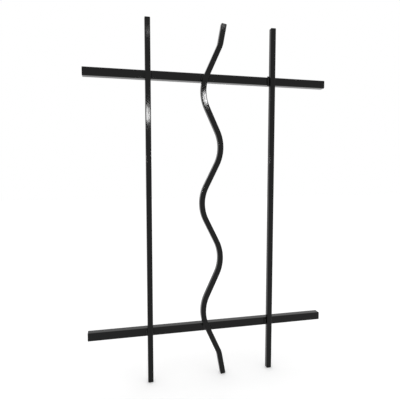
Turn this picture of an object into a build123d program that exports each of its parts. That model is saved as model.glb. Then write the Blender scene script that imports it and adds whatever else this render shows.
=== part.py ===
# Window security grille: two square rails, and three lighter square bars welded across their
# front. The outer bars are straight and the middle one is bent to a wave in its own plane.
# Lengths are in millimetres and angles in degrees. +Z is up, and the front faces -Y.
# The origin is the centre of the whole grille.
import os
from math import radians, tan

from build123d import *

# Stock: hot-rolled square bar, with the softened arrises of rolled steel
BAR = 12.7
BAR_ARRIS = 2.0
RAIL = 19.05
RAIL_ARRIS = 2.2
CUT_CHAMFER = 0.7  # filed round each sawn end

# Layout, measured between the axes of the pieces
BAR_SPACING = 150.0
BAR_SHIFT = -1.5  # the wavy bar's axis lies this far from the rails' middle
RAIL_OVERHANG = 144.0  # beyond the outer bars, were they not shifted
RAIL_LENGTH = 2 * (BAR_SPACING + RAIL_OVERHANG)
RAIL_SPACING = 600.0
RAIL_LOWERING = 2.0  # the rails' middle lies this far below the bars' middle
BAR_OVERHANG = 120.0  # beyond the rails, were they not lowered
BAR_LENGTH = RAIL_SPACING + 2 * BAR_OVERHANG

# The wavy bar follows a zigzag whose corners are rounded to the bends.
# Reach is a corner's distance from the bar's axis.
BEND_COUNT = 5
END_BEND_INSET = 38.0  # from the rails' axes to the outermost bends, were the wave not raised
BEND_SPACING = (RAIL_SPACING - 2 * END_BEND_INSET) / (BEND_COUNT - 1)
BEND_REACH = 30.5
MIDDLE_BEND_REACH = 35.0  # the middle bend was pulled a little further than the others
BEND_RADIUS = 90.0
WAVE_RAISING = 3.0  # the middle bend lies this far above the bar's middle
TAIL_CORNER_REACH = 18.5
TAIL_CORNER_SPACING = 107.0  # from the outermost bend to the corner where the tail starts
TAIL_RADIUS = 45.0
TAIL_LEAN = 10.5  # the tails lean to the right of vertical

# Fillet welds, one down each side of each bar where it crosses a rail
WELD_LEG = 3.5
WELD_CROWN = 0.5
WELD_LENGTH = RAIL - 2 * RAIL_ARRIS  # the rail's flat face
WELD_LAP = 2.0  # past each edge of the rail, at the one crossing that has longer beads
LAPPED_CROSSING = ("upper", "right")

# Depths: the bars' back faces bear on the rails' front faces at the seat
SEAT_Y = (BAR - RAIL) / 2
BAR_Y = SEAT_Y - BAR / 2
RAIL_Y = SEAT_Y + RAIL / 2

RAIL_Z = {
    "upper": RAIL_SPACING / 2 - RAIL_LOWERING,
    "lower": -RAIL_SPACING / 2 - RAIL_LOWERING,
}
BAR_X = {
    "left": BAR_SHIFT - BAR_SPACING,
    "wavy": BAR_SHIFT,
    "right": BAR_SHIFT + BAR_SPACING,
}


def finish(piece, name):
    """Labels a finished piece and writes its STEP file."""
    piece.label = name
    export_step(piece, f"parts/{name}.step")


def straight_route(x):
    """Axis of a straight bar, from its top end to its bottom end."""
    return [(x, BAR_LENGTH / 2), (x, -BAR_LENGTH / 2)], []


def wavy_route(x):
    """Corners of the wavy bar's zigzag, from the top end down, and the radius at each."""
    outermost = (BEND_COUNT - 1) / 2
    bends = []
    for number in range(BEND_COUNT):
        steps = outermost - number
        reach = BEND_REACH if steps else MIDDLE_BEND_REACH
        side = 1 if number % 2 else -1
        bends.append((x + side * reach, WAVE_RAISING + steps * BEND_SPACING))

    tail_drop = outermost * BEND_SPACING + TAIL_CORNER_SPACING
    end_z = BAR_LENGTH / 2
    tails = []
    for up in (1, -1):
        corner_z = WAVE_RAISING + up * tail_drop
        run = abs(up * end_z - corner_z) * tan(radians(TAIL_LEAN))
        corner = (x + TAIL_CORNER_REACH, corner_z)
        tails.append([(corner[0] + run, up * end_z), corner])

    corners = tails[0] + bends + tails[1][::-1]
    radii = [TAIL_RADIUS] + [BEND_RADIUS] * BEND_COUNT + [TAIL_RADIUS]
    return corners, radii


def route_line(corners, radii):
    """The bar's axis as one line of straight runs and tangent arcs, in the plane y = BAR_Y."""
    points = [(x, BAR_Y, z) for x, z in corners]
    if radii:
        return FilletPolyline(*points, radius=radii)
    return Line(*points)


def section_plane(line):
    """Plane across the start of a route: its X points back to the rails and its Y to the right."""
    return Plane(origin=line @ 0, x_dir=(0, 1, 0), z_dir=line % 0)


def make_bar(name, corners, radii):
    """A square bar swept along its route, with filed ends."""
    with BuildPart() as bar:
        with BuildLine() as route:
            line = route_line(corners, radii)
        with BuildSketch(section_plane(line)):
            RectangleRounded(BAR, BAR, BAR_ARRIS)
        sweep(path=route.line)
        ends = bar.faces().filter_by(GeomType.PLANE).sort_by(Axis.Z)
        chamfer([ends[0].edges(), ends[-1].edges()], CUT_CHAMFER)
    finish(bar.part, name)


def make_rail(name, z):
    """A straight square rail behind the bars."""
    with BuildPart() as rail:
        with BuildSketch(Plane.YZ.offset(-RAIL_LENGTH / 2)):
            with Locations((RAIL_Y, z)):
                RectangleRounded(RAIL, RAIL, RAIL_ARRIS)
        extrude(amount=RAIL_LENGTH)
        ends = rail.faces().sort_by(Axis.X)
        chamfer([ends[0].edges(), ends[-1].edges()], CUT_CHAMFER)
    finish(rail.part, name)


def make_weld(name, corners, radii, side, z, length):
    """A fillet bead in the corner between one side of a bar and a rail's front face."""
    root = (BAR / 2, side * BAR / 2)
    bar_toe = (root[0] - WELD_LEG, root[1])
    rail_toe = (root[0], root[1] + side * WELD_LEG)
    with BuildPart() as weld:
        with BuildLine() as route:
            line = route_line(corners, radii)
        with BuildSketch(section_plane(line)):
            with BuildLine():
                Line(bar_toe, root)
                Line(root, rail_toe)
                SagittaArc(rail_toe, bar_toe, -side * WELD_CROWN)
            make_face()
        sweep(path=route.line)
        # A slot seen from the side keeps the stretch in front of the rail and rounds its ends
        with BuildSketch(Plane.YZ):
            with Locations((SEAT_Y, z)):
                SlotOverall(length, 2 * (WELD_LEG + WELD_CROWN), rotation=90)
        extrude(amount=RAIL_LENGTH / 2, both=True, mode=Mode.INTERSECT)
    finish(weld.part, name)


os.makedirs("parts", exist_ok=True)

for rail_name, rail_z in RAIL_Z.items():
    make_rail(f"{rail_name}_rail", rail_z)

for bar_name, bar_x in BAR_X.items():
    route_points = wavy_route if bar_name == "wavy" else straight_route
    bar_corners, bar_radii = route_points(bar_x)
    make_bar(f"{bar_name}_bar", bar_corners, bar_radii)
    for rail_name, rail_z in RAIL_Z.items():
        lapped = (rail_name, bar_name) == LAPPED_CROSSING
        weld_length = RAIL + 2 * WELD_LAP if lapped else WELD_LENGTH
        for side_name, bar_side in (("left", -1), ("right", 1)):
            weld_name = f"weld_{rail_name}_{bar_name}_bar_{side_name}_side"
            make_weld(weld_name, bar_corners, bar_radii, bar_side, rail_z, weld_length)
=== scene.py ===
# Looks of a welded window security grille in gloss black enamel, on a plain pale floor.
# Lengths are in metres unless a name says otherwise, in the part's own frame: +Z up, front facing -Y.
from collections import namedtuple
from math import floor, pi, radians, sin, tan

import bmesh
import bpy
from mathutils import Euler, Matrix, Vector


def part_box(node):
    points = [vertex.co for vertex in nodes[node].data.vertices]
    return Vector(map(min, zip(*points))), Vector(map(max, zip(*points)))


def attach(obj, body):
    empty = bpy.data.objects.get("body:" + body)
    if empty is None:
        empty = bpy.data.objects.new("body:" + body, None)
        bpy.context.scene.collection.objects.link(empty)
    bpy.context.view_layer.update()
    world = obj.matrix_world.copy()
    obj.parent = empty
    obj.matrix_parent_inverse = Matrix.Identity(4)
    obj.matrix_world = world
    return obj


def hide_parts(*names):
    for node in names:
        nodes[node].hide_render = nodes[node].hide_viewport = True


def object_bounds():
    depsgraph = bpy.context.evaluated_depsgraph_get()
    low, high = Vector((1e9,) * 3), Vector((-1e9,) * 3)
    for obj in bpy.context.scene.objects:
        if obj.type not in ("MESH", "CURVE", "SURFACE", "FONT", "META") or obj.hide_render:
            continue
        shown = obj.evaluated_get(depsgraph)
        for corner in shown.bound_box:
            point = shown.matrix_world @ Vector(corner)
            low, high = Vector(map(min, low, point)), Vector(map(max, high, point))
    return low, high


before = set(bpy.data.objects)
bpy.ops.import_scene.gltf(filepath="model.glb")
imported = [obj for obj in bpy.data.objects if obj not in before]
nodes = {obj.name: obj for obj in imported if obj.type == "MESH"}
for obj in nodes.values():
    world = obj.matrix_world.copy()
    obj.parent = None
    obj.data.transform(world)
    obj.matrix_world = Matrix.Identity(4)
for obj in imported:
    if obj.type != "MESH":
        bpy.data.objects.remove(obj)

CAD_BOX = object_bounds()
FRONT_Y = CAD_BOX[0].y  # where the bars' front faces lie
FEET_Z = CAD_BOX[0].z
MM = 0.001

# Camera, found from the photograph's edges: it stands left of the grille and looks slightly down
CAMERA_PLACE = Vector((-0.23581, -0.88380, 0.07887))
CAMERA_TURN = 13.20  # degrees to the right of straight ahead
CAMERA_TILT = 4.30  # degrees below the horizontal
CAMERA_ROTATION = Euler((radians(90 - CAMERA_TILT), 0, radians(-CAMERA_TURN)))
CAMERA_LENS = 34.142  # mm
CAMERA_SENSOR = 36.0  # mm
NEAREST_SEEN = 0.05
FARTHEST_SEEN = 100.0
PHOTO_WIDTH = 400  # pixels, and as many high

# Enamel
ENAMEL_IOR = 1.3  # under the usual 1.5, because the photographed coat mirrors little around it
THICK_COAT_COLOUR = "#010101"
THIN_COAT_COLOUR = "#040404"
THICK_COAT_ROUGHNESS = 0.05
THIN_COAT_ROUGHNESS = 0.08

# Levels of the coat's noise: up to the first the coat counts as thick, and from the second as thin
COLOUR_TURNS = (0.35, 0.65)
GLOSS_TURNS = (0.3, 0.7)

# Patterns: the width of a blotch, the depth of the bump that it makes, how many finer sizes of it
# there are, and how strong they are. Real brush streaks are about 0.5 mm wide, which is too fine
# to show, so they are drawn about three times as wide.
Pattern = namedtuple("Pattern", "width depth detail roughness")
BRUSH_STREAKS = Pattern(width=1.6 * MM, depth=0.005 * MM, detail=3.0, roughness=0.6)
ORANGE_PEEL = Pattern(width=0.9 * MM, depth=0.0012 * MM, detail=1.0, roughness=0.5)
COAT_PATCHES = Pattern(width=26.0 * MM, depth=0.0, detail=2.0, roughness=0.5)  # colour and gloss alone
BAR_PITS = Pattern(width=4.5 * MM, depth=0.024 * MM, detail=4.0, roughness=0.55)
RAIL_PITS = BAR_PITS._replace(width=6.5 * MM, depth=0.02 * MM)
WELD_SPATTER = BAR_PITS._replace(width=2.0 * MM, depth=0.03 * MM)

# Scales that draw a pattern out along the piece that it is on
DRAWN_OUT = 0.07
EVERY_WAY = (1.0, 1.0, 1.0)
ALONG_BARS = (1.0, 1.0, DRAWN_OUT)
ALONG_RAILS = (DRAWN_OUT, 1.0, 1.0)

# Weld beads
RIPPLE_PITCH = 1.5 * MM
RIPPLE_DEPTH = 0.32 * MM
RIPPLE_BOW = 1.1 * MM  # how far a ripple's middle runs ahead of its ends
RIPPLE_FADING = 3  # the higher, the sooner a ripple fades on its way from the crown to the toes
SLICES_PER_RIPPLE = 6
MERGE_DISTANCE = 1e-6
BEAD_CREASE = 50.0  # degrees, above which two faces meet in a hard line

# Studio
FLOOR_WIDTH = 12.0
FLOOR_GAP = 0.3 * MM  # under the lowest foot
FLOOR_COLOUR = "#f6f6f6"
FLOOR_LIFT = 0.25  # brings the open floor to white and leaves the shadow
AMBIENT_LEVEL = 0.9
WHITE = "#ffffff"

# Glints that the bars' front faces show. Left and right are a glint's ends, across and down in the
# photograph's pixels, as the height is. The brightness is the lamp's radiance, and the beam is the
# angle in degrees that a grid on the lamp lets through, so that it shines on its glint alone.
Glint = namedtuple("Glint", "left right height brightness beam")
GLINTS = {
    "left_bar_lamp": Glint(left=(139.0, 115.2), right=(149.2, 112.6), height=14.0,
                           brightness=64.0, beam=24.0),
    "wavy_bar_lamp": Glint(left=(204.2, 98.4), right=(207.6, 97.9), height=11.0,
                           brightness=92.0, beam=14.0),
    "bar_tops_lamp": Glint(left=(147.6, 32.0), right=(222.5, 24.4), height=4.0,
                           brightness=18.0, beam=30.0),
}
LAMP_REACH = 1.5  # from the bars' front faces

# Lamps that no front face mirrors, by the ends of their long side. The one beyond the camera's left
# draws a thin light line down each bar's left arris, and the rear one lights the back.
Lamp = namedtuple("Lamp", "start end height brightness beam aim")
OTHER_LAMPS = {
    "left_arris_lamp": Lamp(start=(-0.62, -1.60, 0.16), end=(-0.48, -1.60, 0.16), height=0.045,
                            brightness=110.0, beam=30.0, aim=(0, 0, 0.11)),
    "rear_lamp": Lamp(start=(0.05, 1.50, 0.16), end=(0.65, 1.50, 0.16), height=0.10,
                      brightness=7.0, beam=60.0, aim=(0, 0, 0.1)),
}


def linear_colour(hex_code):
    """An sRGB hex colour as linear red, green, blue and full alpha."""
    channels = [int(hex_code[start:start + 2], 16) / 255 for start in (1, 3, 5)]
    linear = [c / 12.92 if c <= 0.04045 else ((c + 0.055) / 1.055) ** 2.4 for c in channels]
    return (*linear, 1.0)


def add_node(tree, kind, sockets, **settings):
    """Adds a node. Each socket is set to its value, or linked where the value is another socket."""
    node = tree.nodes.new(kind)
    for name, value in settings.items():
        setattr(node, name, value)
    for name, value in sockets.items():
        if isinstance(value, bpy.types.NodeSocket):
            tree.links.new(value, node.inputs[name])
        else:
            node.inputs[name].default_value = value
    return node


def empty_material(name):
    """A material with nothing in its node tree."""
    material = bpy.data.materials.new(name)
    material.use_nodes = True
    material.node_tree.nodes.clear()
    return material


def add_object(name, data):
    """A new object in the scene."""
    thing = bpy.data.objects.new(name, data)
    bpy.context.scene.collection.objects.link(thing)
    return thing


def add_piece(name, shape, material):
    """Turns a bmesh into an object of one material."""
    mesh = bpy.data.meshes.new(name)
    shape.to_mesh(mesh)
    shape.free()
    mesh.materials.append(material)
    return add_object(name, mesh)


def noise_of(tree, coordinates, pattern):
    """A pattern's noise, between 0 and 1."""
    return add_node(tree, "ShaderNodeTexNoise", {
        "Vector": coordinates, "Scale": 1 / pattern.width,
        "Detail": pattern.detail, "Roughness": pattern.roughness,
    }).outputs["Fac"]


def gloss_black_enamel(name, stretch, steel):
    """Brushed gloss black enamel. The steel's own pattern shows through it as unevenness in the gloss."""
    material = empty_material(name)
    tree = material.node_tree
    coordinates = add_node(tree, "ShaderNodeTexCoord", {}).outputs["Object"]
    along = add_node(tree, "ShaderNodeMapping", {"Vector": coordinates, "Scale": stretch}).outputs["Vector"]

    normal = {}  # the smooth surface's, until the first bump is laid on it
    for pattern, place in ((BRUSH_STREAKS, along), (steel, coordinates), (ORANGE_PEEL, coordinates)):
        height = noise_of(tree, place, pattern)
        bump = add_node(tree, "ShaderNodeBump", {
            "Height": height, "Strength": 1.0, "Distance": pattern.depth, **normal,
        })
        normal = {"Normal": bump.outputs["Normal"]}

    thinness = noise_of(tree, along, COAT_PATCHES)
    gloss = add_node(tree, "ShaderNodeMapRange", {
        "Value": thinness, "From Min": GLOSS_TURNS[0], "From Max": GLOSS_TURNS[1],
        "To Min": THICK_COAT_ROUGHNESS, "To Max": THIN_COAT_ROUGHNESS,
    })
    colour = add_node(tree, "ShaderNodeValToRGB", {"Fac": thinness})
    thick, thin = colour.color_ramp.elements
    thick.color, thin.color = linear_colour(THICK_COAT_COLOUR), linear_colour(THIN_COAT_COLOUR)
    thick.position, thin.position = COLOUR_TURNS

    surface = add_node(tree, "ShaderNodeBsdfPrincipled", {
        "Base Color": colour.outputs["Color"], "Roughness": gloss.outputs["Result"],
        "IOR": ENAMEL_IOR, **normal,
    })
    add_node(tree, "ShaderNodeOutputMaterial", {"Surface": surface.outputs["BSDF"]})
    return material


def dress(nodes, material):
    """Puts a material on CAD nodes."""
    for node in nodes:
        node.data.materials.clear()
        node.data.materials.append(material)


def ripple_at(place, normal):
    """How deep a ripple's valley lies under the crown at a place, from 0 at a crest."""
    across = Vector((normal.x, normal.z)).length
    crown_share = 2 * across * abs(normal.y)  # 1 half-way between the bar and the rail, 0 at the toes
    off_middle = abs(normal.y) - across
    run = place.z - RIPPLE_BOW * off_middle ** 2
    phase = run / RIPPLE_PITCH - floor(run / RIPPLE_PITCH)
    return RIPPLE_DEPTH * crown_share ** RIPPLE_FADING * (1 - sin(pi * phase))


def slice_bead(bead, low, high):
    """Cuts a bead across between two heights, into slices thin enough to take the ripples."""
    step = RIPPLE_PITCH / SLICES_PER_RIPPLE
    for number in range(1, int((high - low) / step)):
        whole = bead.verts[:] + bead.edges[:] + bead.faces[:]
        cut = low + number * step
        bmesh.ops.bisect_plane(bead, geom=whole, plane_co=(0, 0, cut), plane_no=(0, 0, 1))
    many_sided = [face for face in bead.faces if len(face.verts) > 4]
    bmesh.ops.triangulate(bead, faces=many_sided)


def press_ripples(bead):
    """Presses the ripples into a sliced bead."""
    bead.normal_update()
    moves = {vertex: vertex.normal * ripple_at(vertex.co, vertex.normal) for vertex in bead.verts}
    for vertex, move in moves.items():
        vertex.co -= move
    for face in bead.faces:
        face.smooth = True


def lay_bead(node, material):
    """A hand-laid weld bead: a copy of its solid, with the ripples pressed into its crown."""
    bead = bmesh.new()
    bead.from_mesh(node.data)
    bmesh.ops.remove_doubles(bead, verts=bead.verts, dist=MERGE_DISTANCE)
    low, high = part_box(node.name)
    slice_bead(bead, low.z, high.z)
    press_ripples(bead)
    piece = add_piece("bead_of_" + node.name, bead, material)
    piece.data.set_sharp_from_angle(angle=radians(BEAD_CREASE))
    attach(piece, "root")
    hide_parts(node.name)


def seen_directly_or_mirrored(tree):
    """1 for rays from the camera, from gloss and through glass, and 0 for the light that falls on things."""
    rays = add_node(tree, "ShaderNodeLightPath", {}).outputs
    seen = rays["Is Camera Ray"]
    for kind in ("Is Glossy Ray", "Is Transmission Ray"):
        seen = add_node(tree, "ShaderNodeMath", {0: seen, 1: rays[kind]}, operation="MAXIMUM").outputs[0]
    return seen


def make_world():
    """Even studio light, and plain white wherever the world itself is seen."""
    world = bpy.data.worlds.new("white_studio")
    bpy.context.scene.world = world
    world.use_nodes = True
    tree = world.node_tree
    tree.nodes.clear()
    light = add_node(tree, "ShaderNodeBackground", {"Color": linear_colour(WHITE), "Strength": AMBIENT_LEVEL})
    white = add_node(tree, "ShaderNodeBackground", {"Color": linear_colour(WHITE), "Strength": 1.0})
    both = add_node(tree, "ShaderNodeMixShader", {
        "Fac": seen_directly_or_mirrored(tree), 1: light.outputs[0], 2: white.outputs[0],
    })
    add_node(tree, "ShaderNodeOutputWorld", {"Surface": both.outputs[0]})


def white_paper():
    """Matt white paper, lifted to flat white wherever it is seen, so that only the soft shadow shows."""
    material = empty_material("white_paper_floor")
    tree = material.node_tree
    lift = add_node(tree, "ShaderNodeMath", {
        0: seen_directly_or_mirrored(tree), 1: FLOOR_LIFT,
    }, operation="MULTIPLY")
    paper = add_node(tree, "ShaderNodeBsdfDiffuse", {"Color": linear_colour(FLOOR_COLOUR)})
    glow = add_node(tree, "ShaderNodeEmission", {"Color": linear_colour(WHITE), "Strength": lift.outputs[0]})
    both = add_node(tree, "ShaderNodeAddShader", {0: paper.outputs[0], 1: glow.outputs[0]})
    add_node(tree, "ShaderNodeOutputMaterial", {"Surface": both.outputs[0]})
    return material


def make_floor():
    """A floor just under the feet, which isn't part of the grille."""
    sheet = bmesh.new()
    bmesh.ops.create_grid(sheet, x_segments=1, y_segments=1, size=FLOOR_WIDTH / 2,
                          matrix=Matrix.Translation((0, 0, FEET_Z - FLOOR_GAP)))
    add_piece("paper_floor", sheet, white_paper())


def seen_at(across, down, y):
    """The place at a depth y that the camera sees at a pixel of the photograph."""
    pixel = CAMERA_SENSOR / PHOTO_WIDTH
    ray = Vector(((across - PHOTO_WIDTH / 2) * pixel, (PHOTO_WIDTH / 2 - down) * pixel, -CAMERA_LENS))
    ray.rotate(CAMERA_ROTATION)
    return CAMERA_PLACE + ray * ((y - CAMERA_PLACE.y) / ray.y)


def mirrored_place(across, down):
    """Where a lamp stands for the bars' front faces to mirror it at a pixel of the photograph."""
    place = seen_at(across, down, FRONT_Y + LAMP_REACH)
    place.y = FRONT_Y - LAMP_REACH
    return place


def lamp_for(glint):
    """The lamp that the bars' front faces mirror as a glint."""
    across, down = (Vector(glint.left) + Vector(glint.right)) / 2
    height = mirrored_place(across, down - glint.height).z - mirrored_place(across, down).z
    return Lamp(mirrored_place(*glint.left), mirrored_place(*glint.right), height,
                glint.brightness, glint.beam, aim=seen_at(across, down, FRONT_Y))


def hang_lamp(name, lamp):
    """A rectangular soft lamp behind a grid."""
    start, end, aim = Vector(lamp.start), Vector(lamp.end), Vector(lamp.aim)
    data = bpy.data.lights.new(name, "AREA")
    data.shape = "RECTANGLE"
    data.size = (end - start).length
    data.size_y = lamp.height
    data.spread = radians(lamp.beam)
    # The renderer gathers a lamp's light into its beam, so a narrow beam takes less to look as bright
    half_beam = data.spread / 2
    gathered = 1 - half_beam / tan(half_beam)
    data.energy = lamp.brightness * gathered * pi * (end - start).length * lamp.height

    centre = (start + end) / 2
    away = (centre - aim).normalized()
    along = end - start
    along = (along - along.dot(away) * away).normalized()
    turn = Matrix((along, away.cross(along), away)).transposed().to_4x4()
    add_object(name, data).matrix_world = Matrix.Translation(centre) @ turn


def hang_lamps():
    """The small lamps that the enamel mirrors. The world gives the rest of the light."""
    for name, glint in GLINTS.items():
        hang_lamp(name, lamp_for(glint))
    for name, lamp in OTHER_LAMPS.items():
        hang_lamp(name, lamp)


def make_camera():
    """The photograph's view."""
    data = bpy.data.cameras.new("photograph_view")
    data.lens = CAMERA_LENS
    data.sensor_width = CAMERA_SENSOR
    data.clip_start = NEAREST_SEEN
    data.clip_end = FARTHEST_SEEN
    camera = add_object("photograph_view", data)
    camera.location = CAMERA_PLACE
    camera.rotation_euler = CAMERA_ROTATION
    bpy.context.scene.camera = camera


rails = [nodes["upper_rail"], nodes["lower_rail"]]
bars = [nodes["left_bar"], nodes["wavy_bar"], nodes["right_bar"]]
welds = [nodes[name] for name in sorted(nodes) if name.startswith("weld_")]

# The bars look near black and wet. Their glints break up into upright brush streaks with ragged ends.
dress(bars, gloss_black_enamel("gloss_black_enamel_on_rolled_bar", ALONG_BARS, BAR_PITS))

# The rails are the same black, with their streaks lengthwise and slower waves in the gloss.
dress(rails, gloss_black_enamel("gloss_black_enamel_on_rolled_rail", ALONG_RAILS, RAIL_PITS))

# On the beads the enamel lies thick over spatter, and its gloss crawls from ripple to ripple.
bead_enamel = gloss_black_enamel("gloss_black_enamel_over_weld", EVERY_WAY, WELD_SPATTER)
for weld in welds:
    lay_bead(weld, bead_enamel)

make_world()
make_floor()
hang_lamps()
make_camera()

bpy.context.scene.view_settings.view_transform = "Standard"
